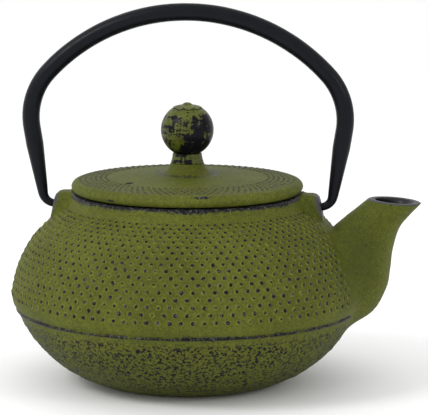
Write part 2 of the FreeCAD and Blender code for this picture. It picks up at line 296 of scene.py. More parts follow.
def open_surface(maker, loop, radius, margin, finish=0):
    """Take away the faces under a closed loop of points that lie on the surface, and join the
    ragged edge that is left to the loop. Radius turns angles into lengths."""
    # rounded the way the triangulation rounds, so that slivers fall on the same side in both
    flat = (np.array(maker.place) * (radius, 1.0)).astype(np.float32).astype(float)
    rim = flat[loop]
    centre = rim.mean(axis=0)
    near = inside(centre + (rim - centre) * (1 + margin), flat)
    near[loop] = False
    kept, finishes, edges = [], [], {}
    for face, look in zip(maker.faces, maker.finish):
        if any(near[corner] for corner in face):
            for edge in zip(face, face[1:] + face[:1]):
                if not edges.pop(edge[::-1], False):
                    edges[edge] = True
        else:
            kept.append(face)
            finishes.append(look)
    ids = sorted({corner for edge in edges for corner in edge} | set(loop))
    order = {corner: i for i, corner in enumerate(ids)}
    wanted = [(order[a], order[b]) for a, b in [*edges, *zip(loop, loop[1:] + loop[:1])]]
    _, _, triangles, origin, _, _ = delaunay_2d_cdt(
        [Vector(flat[corner]) for corner in ids], wanted, [], 0, 1e-6)
    triangles = [[ids[origin[corner][0]] for corner in triangle] for triangle in triangles]
    centres = np.array([flat[triangle].mean(axis=0) for triangle in triangles])
    keep = inside(flat[ordered_chain(list(edges))], centres) & ~inside(rim, centres)
    maker.faces, maker.finish = kept, finishes
    for triangle, wanted_here in zip(triangles, keep):
        if wanted_here:
            maker.face(*triangle, finish=finish)


def ordered_chain(edges):
    """The corners of one closed run of directed edges, in order."""
    following = dict(edges)
    start = next(iter(following))
    chain, here = [start], following[start]
    while here != start:
        chain.append(here)
        here = following[here]
    return chain


# ---- pot body

HOBNAILS = 100  # bumps in one row round the pot
HOBNAIL_HEIGHT = 0.72
SKIN_DEPTH = 0.42
HOBNAIL_FOOT, ROW_SPACING = 0.29, 0.665  # shares of the spacing round the pot
FOOT_RADIUS = 34.9
RIDGE_RADIUS, RIDGE_HEIGHT = 69.9, 30.4
RIDGE_LOW, RIDGE_HIGH = (69.1, RIDGE_HEIGHT - 0.6), (69.4, RIDGE_HEIGHT + 0.6)
BELLY = (71.1, 36.8)  # widest place
COLLAR_FOOT, COLLAR_NECK = (50.4, 70.4), (47.6, 73.2)
COLLAR_TOP = 77.3
COLLAR_EDGE, MOUTH_EDGE = (46.9, COLLAR_TOP - 0.6), (42.4, COLLAR_TOP)
SEAT = [(42.0, COLLAR_TOP - 0.4), (42.0, 73.2), (38.8, 73.2), (38.6, 73.0), (38.6, 69.4),
        (47.4, 67.4)]  # from the mouth down to where the hollow widens
HOLLOW_END = (32.0, 4.2)

outside_points = dense(
    [(0.0, 0.0)]
    + arc((FOOT_RADIUS, 0.0), (55.7, 11.0), RIDGE_LOW, 60)
    + arc(RIDGE_LOW, (RIDGE_RADIUS, RIDGE_HEIGHT), RIDGE_HIGH, 6)
    + arc(RIDGE_HIGH, (71.0, 33.2), BELLY, 16)
    + arc(BELLY, (64.7, 55.5), COLLAR_FOOT, 70)
    + arc(COLLAR_FOOT, (48.5, 71.9), COLLAR_NECK, 8)
    + [COLLAR_NECK, COLLAR_EDGE]
    + arc(COLLAR_EDGE, (46.7, COLLAR_TOP - 0.15), (46.2, COLLAR_TOP), 4)
    + [(46.2, COLLAR_TOP), MOUTH_EDGE])
inside_points = dense(
    [MOUTH_EDGE] + SEAT
    + arc(SEAT[-1], (62.0, 53.8), (67.9, 36.8), 50)
    + [(67.9, 36.8)]
    + arc((65.9, RIDGE_HEIGHT), (53.4, 13.3), HOLLOW_END, 50)
    + [HOLLOW_END, (0.0, HOLLOW_END[1])])
pot_line = Outline(outside_points + inside_points[1:])
OUTER_END = pot_line.where(*COLLAR_EDGE)
INNER_START, HOLLOW_START = pot_line.wheres(*SEAT[-2:])


def nearest_length(radius, height, low, high):
    """Where on a stretch of the pot's outline a point's foot lies."""
    first, last = np.searchsorted(pot_line.length, (low, high))
    a, b = pot_line.points[first:last], pot_line.points[first + 1:last + 1]
    along = b - a
    square = np.maximum((along ** 2).sum(axis=1), 1e-12)
    share = np.clip(((np.array([radius, height]) - a) * along).sum(axis=1) / square, 0, 1)
    gap = np.hypot(*(a + along * share[:, None] - (radius, height)).T)
    best = int(np.argmin(gap))
    start, stop = pot_line.length[first + best:first + best + 2]
    return float(start + share[best] * (stop - start))


def wall_radius(height, inner=False):
    """The pot's radius at a height, outside or inside."""
    length = pot_line.length
    points = pot_line.points[length > HOLLOW_START if inner else length < OUTER_END]
    order = np.argsort(points[:, 1])
    return float(np.interp(height, points[order, 1], points[order, 0]))


# The spout's sections: top and bottom of its outline at y = 0, as (x, z), and its width.
SECTIONS = np.array([
    (50.0, 57.0, 60.0, 22.0, 37.0),
    (57.8, 62.6, 74.6, 28.6, 32.5),
    (60.6, 65.2, 81.0, 38.9, 28.5),
    (62.6, 66.9, 82.6, 47.3, 25.5),
    (64.8, 68.8, 83.5, 55.2, 23.0),
    (68.3, 71.6, 86.0, 63.9, 20.6),
    (73.0, 75.5, 90.0, 69.2, 19.6),
    (76.6, 78.3, 93.4, 72.8, 19.4),
    (80.0, 81.0, 96.8, 76.4, 19.4),
])
MOUTH_INNER = (73.6, 75.7)
MOUTH_OUTER = (95.6, 74.0)
SPOUT_WALL = 2.3
SPOUT_STEPS = 96
FILLET, FILLET_GAIN = 1.3, 2.9  # its reach above the spout, and the gain below


def section_at(share):
    """The spout's section at a fractional place in the list, on a smooth curve."""
    last = len(SECTIONS) - 1
    share = min(max(share, 0.0), last - 1e-9)
    i = int(share)
    t = share - i
    p0, p1 = SECTIONS[max(i - 1, 0)], SECTIONS[i]
    p2, p3 = SECTIONS[i + 1], SECTIONS[min(i + 2, last)]
    return 0.5 * (2 * p1 + (p2 - p0) * t + (2 * p0 - 5 * p1 + 4 * p2 - p3) * t * t
                  + (3 * p1 - p0 - 3 * p2 + p3) * t ** 3)


def on_spout(angle, share, inset=0.0):
    """A point of the spout's wall: angle 0 is its top, a quarter turn its +Y side."""
    top_x, top_z, bottom_x, bottom_z, width = section_at(share)
    rise = np.array([top_x - bottom_x, 0.0, top_z - bottom_z])
    tall = np.linalg.norm(rise)
    centre = np.array([(top_x + bottom_x) / 2, 0.0, (top_z + bottom_z) / 2])
    return (centre + rise / tall * ((tall / 2 - inset) * cos(angle))
            + np.array([0.0, (width / 2 - inset) * sin(angle), 0.0]))


def crossing(value, low, high):
    """The last place between low and high where value turns from negative to positive."""
    places = np.linspace(high, low, 60)
    for before, after in zip(places[:-1], places[1:]):
        if value(after) < 0 <= value(before):
            for _ in range(24):
                middle = (before + after) / 2
                if value(middle) < 0:
                    after = middle
                else:
                    before = middle
            return (before + after) / 2
    return low


def spout_lines(direction, inset):
    """Lines down the spout's wall, one per step round it. Each starts on the pot's wall,
    turns through a fillet on the outside, and ends at the mouth. The second list holds where
    on the pot's surface each of them starts."""
    inner = inset > 0
    low, high = (INNER_START, pot_line.total) if inner else (0.0, OUTER_END)
    starts, places = [], []
    for angle in turns(SPOUT_STEPS, sense=direction):
        def clear(share):
            x, y, z = on_spout(angle, share, inset)
            return hypot(x, y) - wall_radius(z, inner)

        root = crossing(clear, 0.0, 4.0)
        reach = 0.0 if inner else FILLET + FILLET_GAIN * (1 - cos(angle)) ** 0.7
        start = on_spout(angle, root, inset)
        x, y, z = start + away_from_spout(angle, root, inset, low, high) * reach
        starts.append((angle, inset, root, reach))
        places.append((atan2(y, x), nearest_length(hypot(x, y), z, low, high)))
    places = np.array(places)
    for _ in range(8):
        places = (np.roll(places, 1, axis=0) + 2 * places + np.roll(places, -1, axis=0)) / 4
    lines = []
    for start, (turn_angle, place) in zip(starts, places):
        radius, height = pot_line.at(place)
        lines.append(spout_line(*start, np.array(polar(radius, turn_angle, height))))
    return lines, [tuple(place) for place in places]


def away_from_spout(angle, root, inset, low, high):
    """The direction along the pot's wall that leads straight away from the spout's foot."""
    start = on_spout(angle, root, inset)
    ahead = on_spout(angle, root + 0.02, inset) - start
    aside = on_spout(angle + 0.02, root, inset) - on_spout(angle - 0.02, root, inset)
    away = np.cross(aside, ahead)
    radius = hypot(start[0], start[1])
    across, upward = pot_line.normal(nearest_length(radius, start[2], low, high))
    normal = np.array([across * start[0] / radius, across * start[1] / radius, upward])
    away = unit(away - normal * away.dot(normal))
    behind = away.dot(start - on_spout(angle + pi, root, inset)) < 0
    return -away if behind else away


def spout_line(angle, inset, root, reach, foot):
    """One line: the fillet from its foot on the pot, then straight up the spout's wall."""
    def beyond(share):
        x, _, z = on_spout(angle, share, inset)
        slope = (MOUTH_OUTER[1] - MOUTH_INNER[1]) / (MOUTH_OUTER[0] - MOUTH_INNER[0])
        return z - (MOUTH_INNER[1] + slope * (x - MOUTH_INNER[0]))

    mouth = crossing(beyond, 4.0, len(SECTIONS) - 1)
    if not reach:
        return [foot] + [on_spout(angle, share, inset)
                         for share in steps(root, mouth, 12)[1:]]
    line, joined = [foot], root
    start = here = on_spout(angle, root, inset)
    travel = 0.0
    while travel < reach * 1.25:
        joined += 0.01
        there = on_spout(angle, joined, inset)
        travel += np.linalg.norm(there - here)
        here = there
    onward = unit(on_spout(angle, joined + 0.02, inset) - here)
    inward = unit(start - foot)
    gap = np.linalg.norm(here - foot) * 1.15
    for t in steps(0.0, 1.0, 8)[1:-1]:
        a, b = 2 * t ** 3 - 3 * t ** 2 + 1, t ** 3 - 2 * t ** 2 + t
        c, d = -2 * t ** 3 + 3 * t ** 2, t ** 3 - t ** 2
        line.append(a * foot + b * gap * inward + c * here + d * gap * onward)
    return line + [on_spout(angle, share, inset) for share in steps(joined, mouth, 30)]


def pot_fade(angle, height):
    """0 where the relief is smoothed away round the spout and the lugs, 1 elsewhere."""
    x, y, _ = polar(wall_radius(height), angle)
    fade = 1.0
    if x > 0:
        middle, half = 43.5, 22.5
        fade = ease(1.0, 1.3, hypot(y / 19.0, (height - middle) / half))
    lug = hypot(y / 8.2, (height - 71.0) / 8.5)
    return fade * (ease(1.0, 1.45, lug) if abs(x) > 30 else 1.0)


LUG_HALF_WIDTH = 6.0
LUG_LOW = {-1: 65.4, 1: 66.6}
LUG_TOP = POT_HIGH[2] - 0.15
LUG_STEPS = 40
LUG_SQUARENESS = 0.45
LUG_LOOPS = (  # growth to the sides, to the top, and share of the way out
    (1.7, 0.55, 0.0), (0.75, 0.3, 0.07), (0.15, 0.0, 0.25), (0.0, 0.0, 0.62),
    (-0.25, -0.4, 0.85), (-0.9, -1.2, 0.965), (-1.9, -2.3, 1.0))
LUG_WEAR = 0.85  # on the face and the edge of the hole
PIVOT_HEIGHT = 72.0  # of the line through both lug holes
HOLE_RADIUS = 2.1
HOLE_END = 48.2


def lug_face(height):
    """How far out the lug's flat face stands at a height."""
    return 53.4 + (POT_HIGH[2] - height) * 0.2


def add_lug(maker, side):
    """One lug: rounded rectangles from the pot's wall out to the face, then the hole."""
    middle, half = (LUG_LOW[side] + LUG_TOP) / 2, (LUG_TOP - LUG_LOW[side]) / 2
    rings = []
    for grow_side, grow_top, lift in LUG_LOOPS:
        ring = []
        for angle in turns(LUG_STEPS):
            c, s = cos(angle), sin(angle)
            right = (LUG_HALF_WIDTH + grow_side) * copysign(abs(c) ** LUG_SQUARENESS, c)
            rise = half + (grow_top if s > 0 else grow_side * 0.7)
            height = middle + rise * copysign(abs(s) ** LUG_SQUARENESS, s)
            radius = wall_radius(height)
            wall_x = sqrt(radius * radius - right * right)
            x = wall_x + max(lug_face(height) - wall_x, 0.25) * lift
            place = OFF_SURFACE
            if lift == 0.0:
                turn_angle = atan2(side * right, side * wall_x)
                if turn_angle < FRONT:
                    turn_angle += TURN
                place = (turn_angle, nearest_length(radius, height, 0.0, OUTER_END))
            ring.append(maker.add((side * x, side * right, height), place,
                                  edge=LUG_WEAR if lift > 0.8 else 0.0))
        rings.append(ring)
    for radius, depth in ((HOLE_RADIUS + 0.5, 0.0), (HOLE_RADIUS, 0.5), (HOLE_RADIUS, None)):
        ring = []
        for angle in turns(LUG_STEPS):
            height = PIVOT_HEIGHT + radius * sin(angle)
            out = HOLE_END if depth is None else lug_face(height) - depth
            ring.append(maker.add((side * out, side * radius * cos(angle), height),
                                  edge=LUG_WEAR))
        rings.append(ring)
    maker.strips(rings[:-1])
    maker.strip(*rings[-2:], finish=1)
    maker.fan(rings[-1], maker.add((side * HOLE_END, 0.0, PIVOT_HEIGHT)), finish=1)
    open_surface(maker, rings[0], radius=50.0, margin=0.08)


def add_spout(maker):
    walls = []
    for direction, inset in ((-1, 0.0), (1, SPOUT_WALL)):
        lines, places = spout_lines(direction, inset)
        last = len(lines[0]) - 1
        walls.append([[maker.add(tuple(line[row]), place if row == 0 else OFF_SURFACE,
                                 edge=float(row == last))
                       for line, place in zip(lines, places)] for row in range(last + 1)])
    outer, inner = walls
    maker.strips(outer)
    maker.strips(inner, finish=1)
    # The rim: its two edges are eased, and it stands a touch higher between them.
    mouth = [inner[-1][-i] for i in range(SPOUT_STEPS)]
    crown = []
    for a, b in zip(outer[-1], mouth):
        a, b = np.array(maker.points[a]), np.array(maker.points[b])
        crown.append([maker.add(tuple(a + (b - a) * share + UP * 0.25), edge=1.0)
                      for share in (0.22, 0.75)])
    maker.strips([outer[-1], *zip(*crown), mouth])
    open_surface(maker, outer[0], radius=66.0, margin=0.06)
    open_surface(maker, inner[0], radius=62.0, margin=0.08, finish=1)


def cast_skin(radius, angle, height):
    """How far the rough cast skin of the bowl stands off its smooth surface, -1 to 1."""
    spot = Vector(polar(radius, angle, height))
    fine = noise.noise(spot * 0.62 + Vector((31.0, 7.0, 3.0)))
    return 0.55 * noise.noise(spot * 0.33) + 0.75 * fine


def build_pot():
    maker = Maker()
    add = turned_surface(maker, pot_line)
    around = 2 * HOBNAILS

    def ring(where, high=0.0, count=around, skin=0.0):
        ids = []
        radius, height = pot_line.at(where)
        for k, angle in enumerate(turns(count, FRONT)):
            value = cast_skin(radius, angle, height) if skin else 0.0
            ids.append(add(k / count, where, rise=SKIN_DEPTH * skin * value,
                           high=high + 0.5 * skin * value, skin=skin))
        return ids

    foot, ridge = pot_line.wheres((FOOT_RADIUS, 0.0), (RIDGE_RADIUS, RIDGE_HEIGHT))
    rows = [ridge + 7.6]
    last_row = pot_line.where(*COLLAR_FOOT) + 0.4
    while rows[-1] < last_row:
        rows.append(rows[-1] + ROW_SPACING * TURN * pot_line.at(rows[-1])[0] / HOBNAILS)

    rings = [ring(place) for place in (10.0, 22.0, foot - 2.0, foot - 0.5)]
    for where in steps(foot, ridge - 1.0, 44):
        below_ridge = ridge - 1.0 - where
        skin = ease(1, 15, where - foot) * ease(0.4, 4.4, below_ridge)
        rings.append(ring(where, 0.3 * ease(3.0, 0.0, below_ridge), 2 * around, skin))
    rings += [ring(ridge + step, high, 2 * around)
              for step, high in ((-0.5, 0.75), (0.0, 0.9), (0.5, 0.7))]
    rings += [ring(ridge + step, high) for step, high in ((1.0, 0.62), (1.8, 0.36), (3.2, 0.0))]
    rings.append(ring(rows[0] - (rows[1] - rows[0]) * 1.25))
    maker.fan(rings[0], maker.add((0.0, 0.0, 0.0)), up=False)
    maker.strips(rings)

    corners = relief(maker, pot_line, rows, HOBNAILS, HOBNAIL_FOOT, HOBNAIL_HEIGHT, pot_fade)
    maker.strip(rings[-1], corners[0])

    shoulder = rows[-1] + 1.1 * (rows[-1] - rows[-2])
    collar = [ring(shoulder + (OUTER_END - shoulder) * share, high) for share, high in
              ((0.0, 0.0), (0.2, 0.0), (0.4, 0.1), (0.55, 0.25), (0.7, 0.4), (0.85, 0.6))]
    collar += [ring(OUTER_END + step, high)
               for step, high in ((0.0, 0.9), (0.45, 1.0), (1.0, 1.0), (2.6, 1.0))]
    collar.append(ring(pot_line.where(*MOUTH_EDGE), 1.0))
    maker.strips([corners[-1]] + collar)

    hollow_end = pot_line.where(*HOLLOW_END)
    places = pot_line.wheres(*SEAT)
    places += steps(places[-1], hollow_end, 30)[1:] + [hollow_end + 12.0, hollow_end + 24.0]
    lining = [collar[-1]] + [ring(where) for where in places]
    maker.strips(lining, finish=1)
    maker.fan(lining[-1], maker.add((0.0, 0.0, HOLLOW_END[1])), finish=1)

    add_spout(maker)
    for side in (1, -1):
        add_lug(maker, side)
    return maker


# ---- lid

LID_BUMPS = 88
LID_BUMP_ROWS = 6
LID_BUMP_PITCH = 2.05
LID_BUMP_FOOT = 0.33
LID_BUMP_HEIGHT = 0.16
LID_BUMP_WEAR = 1.75  # against the pot's bumps
BORE = 2.2
VENT = (-21.0, -21.0)
VENT_RADIUS = 1.6
VENT_STEPS = 24
LID_CHIPS = ((10.8, 4.4, 81.9), (-26.5, 1.8, 79.2))  # middle, half length and height
UNDER_START, UNDER_END = (11.6, 81.8), (38.2, 79.6)  # the slope of the underside
LID_LIP = 77.7  # the underside of the lid's rolled edge
FLANGE = [(38.2, 75.0), (38.5, LID_LOW[2]), (40.3, LID_LOW[2]), (40.6, 75.0), (40.6, LID_LIP)]
LIP_START, LIP_SIDE = (44.8, LID_LIP), (LID_HIGH[0], LID_LIP + 2.4)
SLOPE_START, SLOPE_END = (43.6, LID_LIP + 4.8), (13.0, 85.1)
BOSS_EDGE, BOSS_TOP = (6.9, LID_HIGH[2] - 0.3), (6.6, LID_HIGH[2])
VENT_SIDES = ((1, SLOPE_END, SLOPE_START), (-1, UNDER_START, UNDER_END))

lid_line = Outline(dense(
    [(BORE, UNDER_START[1]), UNDER_START, UNDER_END] + FLANGE
    + arc(LIP_START, (46.4, LID_LIP + 0.9), LIP_SIDE, 12)
    + arc(LIP_SIDE, (45.87, LID_LIP + 4.3), SLOPE_START, 14)
    + [SLOPE_START]
    + arc(SLOPE_END, (8.7, 86.2), BOSS_EDGE, 12)
    + [BOSS_EDGE, BOSS_TOP, (BORE, LID_HIGH[2])], 0.3))


def build_lid():
    maker = Maker()
    add = turned_surface(maker, lid_line)
    around = 2 * LID_BUMPS

    def ring(where, edge=0.0):
        ids = []
        radius, height = lid_line.at(where)
        sweep = exp(-((radius - 11.5) / 3.4) ** 2) * (height > 84.0)
        for k, angle in enumerate(turns(around, FRONT)):
            x, y, _ = polar(radius, angle)
            chip = 0.0
            if y < 0:
                for middle, half, level in LID_CHIPS:
                    along = (x - middle) / half
                    chip += exp(-along ** 2 * 1.5 - ((height - level) / 0.5) ** 2)
            ids.append(add(k / around, where, edge=edge, high=1.4 * chip + 0.58 * sweep))
        return ids

    first_row = lid_line.where(43.4, LID_LIP + 4.82)
    rows = [first_row + LID_BUMP_PITCH * i for i in range(LID_BUMP_ROWS)]
    margin = 1.25 * LID_BUMP_PITCH
    under = [0.0] + steps(*lid_line.wheres(UNDER_START, UNDER_END), 24)
    under = [ring(where) for where in under + lid_line.wheres(*FLANGE)]
    edge = [ring(where) for where in steps(lid_line.where(*LIP_START), rows[0] - margin, 14)]
    maker.strips(under, finish=1)
    maker.strips(under[-1:] + edge)
    corners = relief(maker, lid_line, rows, LID_BUMPS, LID_BUMP_FOOT, LID_BUMP_HEIGHT,
                     lambda angle, height: LID_BUMP_WEAR)
    maker.strip(edge[-1], corners[0])
    slope_end, boss = lid_line.wheres(SLOPE_END, BOSS_EDGE)
    top = steps(rows[-1] + margin, slope_end, 20) + steps(slope_end, boss, 10)[1:]
    top = [ring(where) for where in top]
    top += [ring(lid_line.where(*BOSS_TOP), edge=0.5), ring(lid_line.total)]
    maker.strips(corners[-1:] + top)
    maker.strip(top[-1], under[0], finish=1)
    add_vent(maker)
    return maker


def add_vent(maker):
    """The small steam hole through the lid."""
    middle = hypot(*VENT)
    loops = []
    for sense, (inner, level), (outer, outer_level) in VENT_SIDES:
        slope = (outer_level - level) / (outer - inner)
        where = lid_line.where(middle, level + (middle - inner) * slope)
        ids = []
        for angle in turns(VENT_STEPS, sense=-sense):
            x, y, _ = np.add((*VENT, 0.0), polar(VENT_RADIUS, angle))
            aside = hypot(x, y) - middle
            ids.append(maker.add((x, y, lid_line.at(where)[1] + slope * aside),
                                 (atan2(y, x) % TURN, where - sense * aside), edge=0.6))
        loops.append(ids)
    maker.strip([loops[1][-i] for i in range(VENT_STEPS)], loops[0], finish=1)
    open_surface(maker, loops[0], middle, margin=0.2)
    open_surface(maker, loops[1], middle, margin=0.2, finish=1)


# ---- knob and neck

BALL_RADIUS = KNOB_HIGH[0]
BALL_HEIGHT = 102.8
KNOB_STEPS, NECK_STEPS = 180, 128
CAP_EDGE = 6.4  # where the ball stops
CAP_RADIUS, CAP_LOBES, CAP_LOBE_DEPTH = 5.55, 9, 0.5
CAP_RISE, GROOVE_DEPTH = 0.3, 0.16
NUB_FOOT = (2.0, 112.65)
NECK_TOP = NECK_HIGH[2]
RIVET, TANG = KNOB_LOW[2], 2.0
RIVET_SPOTS = [(2.4, RIVET), (3.4, RIVET + 0.6), (3.4, RIVET + 1.5), (TANG, RIVET + 1.5)]


def knob_outline():
    start = sqrt(BALL_RADIUS ** 2 - (BALL_HEIGHT - NECK_TOP) ** 2)
    shoulder = BALL_HEIGHT + sqrt(BALL_RADIUS ** 2 - CAP_EDGE ** 2)
    top = KNOB_HIGH[2]
    return Outline(dense(
        [(0.0, RIVET)] + RIVET_SPOTS + [(TANG, NECK_TOP)]
        + arc((start, NECK_TOP), (BALL_RADIUS, BALL_HEIGHT), (CAP_EDGE, shoulder), 160)
        + arc((CAP_EDGE, shoulder), (4.6, 112.2), NUB_FOOT, 24)
        + [NUB_FOOT, (1.7, 112.95), (1.2, top - 0.2), (0.6, top - 0.05), (0.0, top)], 0.3))


def build_knob():
    outline = knob_outline()
    maker = Maker()
    add = turned_surface(maker, outline)
    places = outline.wheres(*RIVET_SPOTS, (TANG, NECK_TOP - 0.1))
    places += steps(outline.where(TANG, NECK_TOP), outline.total - 0.3, 150)[1:]
    rings = []
    for where in places:
        radius, height = outline.at(where)
        ids = []
        for k, angle in enumerate(turns(KNOB_STEPS, FRONT)):
            rise = edge = 0.0
            if height > BALL_HEIGHT:
                lobe = CAP_LOBES * angle / 2
                border = CAP_RADIUS + CAP_LOBE_DEPTH * abs(cos(lobe))
                groove = exp(-((radius - border - 0.22) / 0.26) ** 2)
                vein = (1 - abs(sin(lobe)) ** 0.7) * 0.2 * ease(2.2, 4.5, radius)
                rise = CAP_RISE * ease(0.16, -0.16, radius - border)
                rise -= GROOVE_DEPTH * groove
                rise -= vein * (radius < border)
                # Painted shade: the edge value darkens the groove under the petals' scalloped
                # edge, as their shadow would.
                edge = 0.8 * groove
            ids.append(add(k / KNOB_STEPS, where, rise=rise, edge=edge))
        rings.append(ids)
    maker.fan(rings[0], maker.add((0.0, 0.0, RIVET)), up=False)
    maker.strips(rings)
    maker.fan(rings[-1], maker.add((0.0, 0.0, KNOB_HIGH[2])))
    return maker


def build_neck():
    low, high = NECK_LOW[2], NECK_HIGH[2]
    side = arc((NECK_HIGH[0], low + 0.2), (6.15, low + 2.0), (5.9, high - 0.2))
    outline = Outline(dense([(BORE, low), (6.5, low), *side, (5.9, high - 0.2), (5.7, high),
                             (BORE, high)], 0.15))
    maker = Maker()
    add = turned_surface(maker, outline)
    rings = [[add(k / NECK_STEPS, where) for k in range(NECK_STEPS)]
             for where in steps(0.0, outline.total, 40)]
    maker.strips(rings + rings[:1])
    return maker


# ---- bail handle

BAIL_APEX = 150.3  # the height of the bar's middle line at the top
TOP_ARC, TOP_ANGLE = 77.1, radians(47.2)
SHOULDER_ARC = 26.9
LEG_ANGLE = radians(90 + 9.15)
HOOK_BEND, HOOK_END = 5.0, 49.6
BAR_RADIUS = BAIL_HIGH[1]
BAR_FOOT_RADIUS, HOOK_RADIUS = 2.15, 1.65
BAR_WAVE = 0.05  # how far the bar's surface wavers
BAR_STEPS = 64
TAPER_TOP = 96.0


def bail_half():
    """(x, z, turn) down the +X half of the bar's middle line, from its apex to the hook's
    end. The turn is the angle of the outward direction from straight up."""
    line = []

    def bend(x, z, radius, angles):
        line.extend((x + radius * sin(turn), z + radius * cos(turn), turn)
                    for turn in angles)

    centre_z = BAIL_APEX - TOP_ARC
    bend(0.0, centre_z, TOP_ARC, steps(0.0, TOP_ANGLE, 34)[:-1])
    inner = TOP_ARC - SHOULDER_ARC
    bend(inner * sin(TOP_ANGLE), centre_z + inner * cos(TOP_ANGLE), SHOULDER_ARC,
         steps(TOP_ANGLE, LEG_ANGLE, 16))
    x, z, _ = line[-1]
    bend_start = PIVOT_HEIGHT + HOOK_BEND + cos(LEG_ANGLE) * HOOK_BEND
    length = (z - bend_start) / sin(LEG_ANGLE)
    line += [(x + along * cos(LEG_ANGLE), z - along * sin(LEG_ANGLE), LEG_ANGLE)
             for along in steps(0.0, length, 24)[1:]]
    x, z, _ = line[-1]
    bend(x - HOOK_BEND * sin(LEG_ANGLE), z - HOOK_BEND * cos(LEG_ANGLE), HOOK_BEND,
         steps(LEG_ANGLE, pi, 12)[1:])
    return line + [(x, PIVOT_HEIGHT, pi) for x in steps(line[-1][0], HOOK_END, 4)[1:]]


def bar_size(z, turn):
    taper_foot = PIVOT_HEIGHT + HOOK_BEND
    if z >= taper_foot:
        share = min(1.0, (z - taper_foot) / (TAPER_TOP - taper_foot))
        return BAR_FOOT_RADIUS + (BAR_RADIUS - BAR_FOOT_RADIUS) * share
    return BAR_FOOT_RADIUS + (HOOK_RADIUS - BAR_FOOT_RADIUS) * max(0.0, -cos(turn))


def build_bail():
    half = bail_half()
    maker = Maker()
    rings = []
    for x, z, turn in [(-x, z, -turn) for x, z, turn in reversed(half)] + half[1:]:
        size = bar_size(z, abs(turn)) - BAR_WAVE
        ids = []
        for angle in turns(BAR_STEPS):
            out, across = cos(angle), sin(angle)
            spot = Vector((x * 0.05, across * 0.9, z * 0.05 + out * 0.9))
            radius = size + BAR_WAVE * noise.noise(spot * 1.7)
            ids.append(maker.add((x + radius * out * sin(turn), -radius * across,
                                  z + radius * out * cos(turn))))
        rings.append(ids)
    maker.strips(rings)
    for ring, up, x in ((rings[0], False, -HOOK_END), (rings[-1], True, HOOK_END)):
        maker.fan(ring, maker.add((x, 0.0, PIVOT_HEIGHT)), up=up)
    return maker


# ---- infuser mesh

WIRE = 0.2  # radius
WIRE_PITCH = 1.3
WALL_WEAVE, BASE_WEAVE = 0.13, 0.045  # how far the wires go over and under
WALL_BEND = 67.2  # below this height the basket tapers
WALL_FOOT, WALL_FLARE = 34.8, 1.6  # its radius at the foot, and what is added


def add_wire(maker, spine, closed=False):
    """A wire of square section along a spine of (point, out, across) frames."""
    rings = [[maker.add(tuple(point + (out * cos(a) + across * sin(a)) * WIRE))
              for a in turns(4)] for point, out, across in spine]
    maker.strips(rings + rings[:1] if closed else rings)
    if not closed:
        maker.face(*rings[0][::-1])
        maker.face(*rings[-1])


def build_mesh_wall():
    maker = Maker()
    low, high = WALL_LOW[2] + WIRE, WALL_HIGH[2] - WIRE

    def wall(height):
        share = min(1.0, (height - WALL_LOW[2]) / (WALL_BEND - WALL_LOW[2]))
        return WALL_FOOT + WALL_FLARE * share - 0.25

    uprights = int(TURN * 35.6 / WIRE_PITCH / 2) * 2
    rings = int((high - low) / WIRE_PITCH)
    heights = [low] + [low + (high - low) * (i + 0.5) / rings for i in range(rings)] + [high]
    outs = [np.array(polar(1.0, angle)) for angle in turns(uprights)]
    for k, out in enumerate(outs):
        weaves = [0.0] + [WALL_WEAVE * (-1) ** (i + k) for i in range(1, rings + 1)] + [0.0]
        add_wire(maker, [(out * (wall(height) + weave) + UP * height, out, np.cross(UP, out))
                         for height, weave in zip(heights, weaves)])
    for i, height in enumerate(heights[1:-1], start=1):
        add_wire(maker, [(out * (wall(height) - WALL_WEAVE * (-1) ** (i + k)) + UP * height,
                          UP, out) for k, out in enumerate(outs)], closed=True)
    return maker


def build_mesh_base():
    maker = Maker()
    radius = BASE_HIGH[0] - 0.3
    level = (BASE_LOW[2] + BASE_HIGH[2]) / 2
    count = int(radius / WIRE_PITCH)
    for along, aside, over in ((np.array([1.0, 0, 0]), np.array([0, 1.0, 0]), BASE_WEAVE),
                               (np.array([0, 1.0, 0]), np.array([-1.0, 0, 0]), -BASE_WEAVE)):
        for i in range(-count, count + 1):
            offset = i * WIRE_PITCH
            reach = sqrt(max(radius ** 2 - offset ** 2, 1.0))
            last = int(reach / WIRE_PITCH)
            knots = [(j * WIRE_PITCH, over * (-1) ** (i + j)) for j in range(-last, last + 1)]
            middle = abs(aside) * offset + UP * level
            add_wire(maker, [(middle + along * place + UP * weave, aside, UP)
                             for place, weave in [(-reach, 0.0), *knots, (reach, 0.0)]])
    return maker


# ---- materials

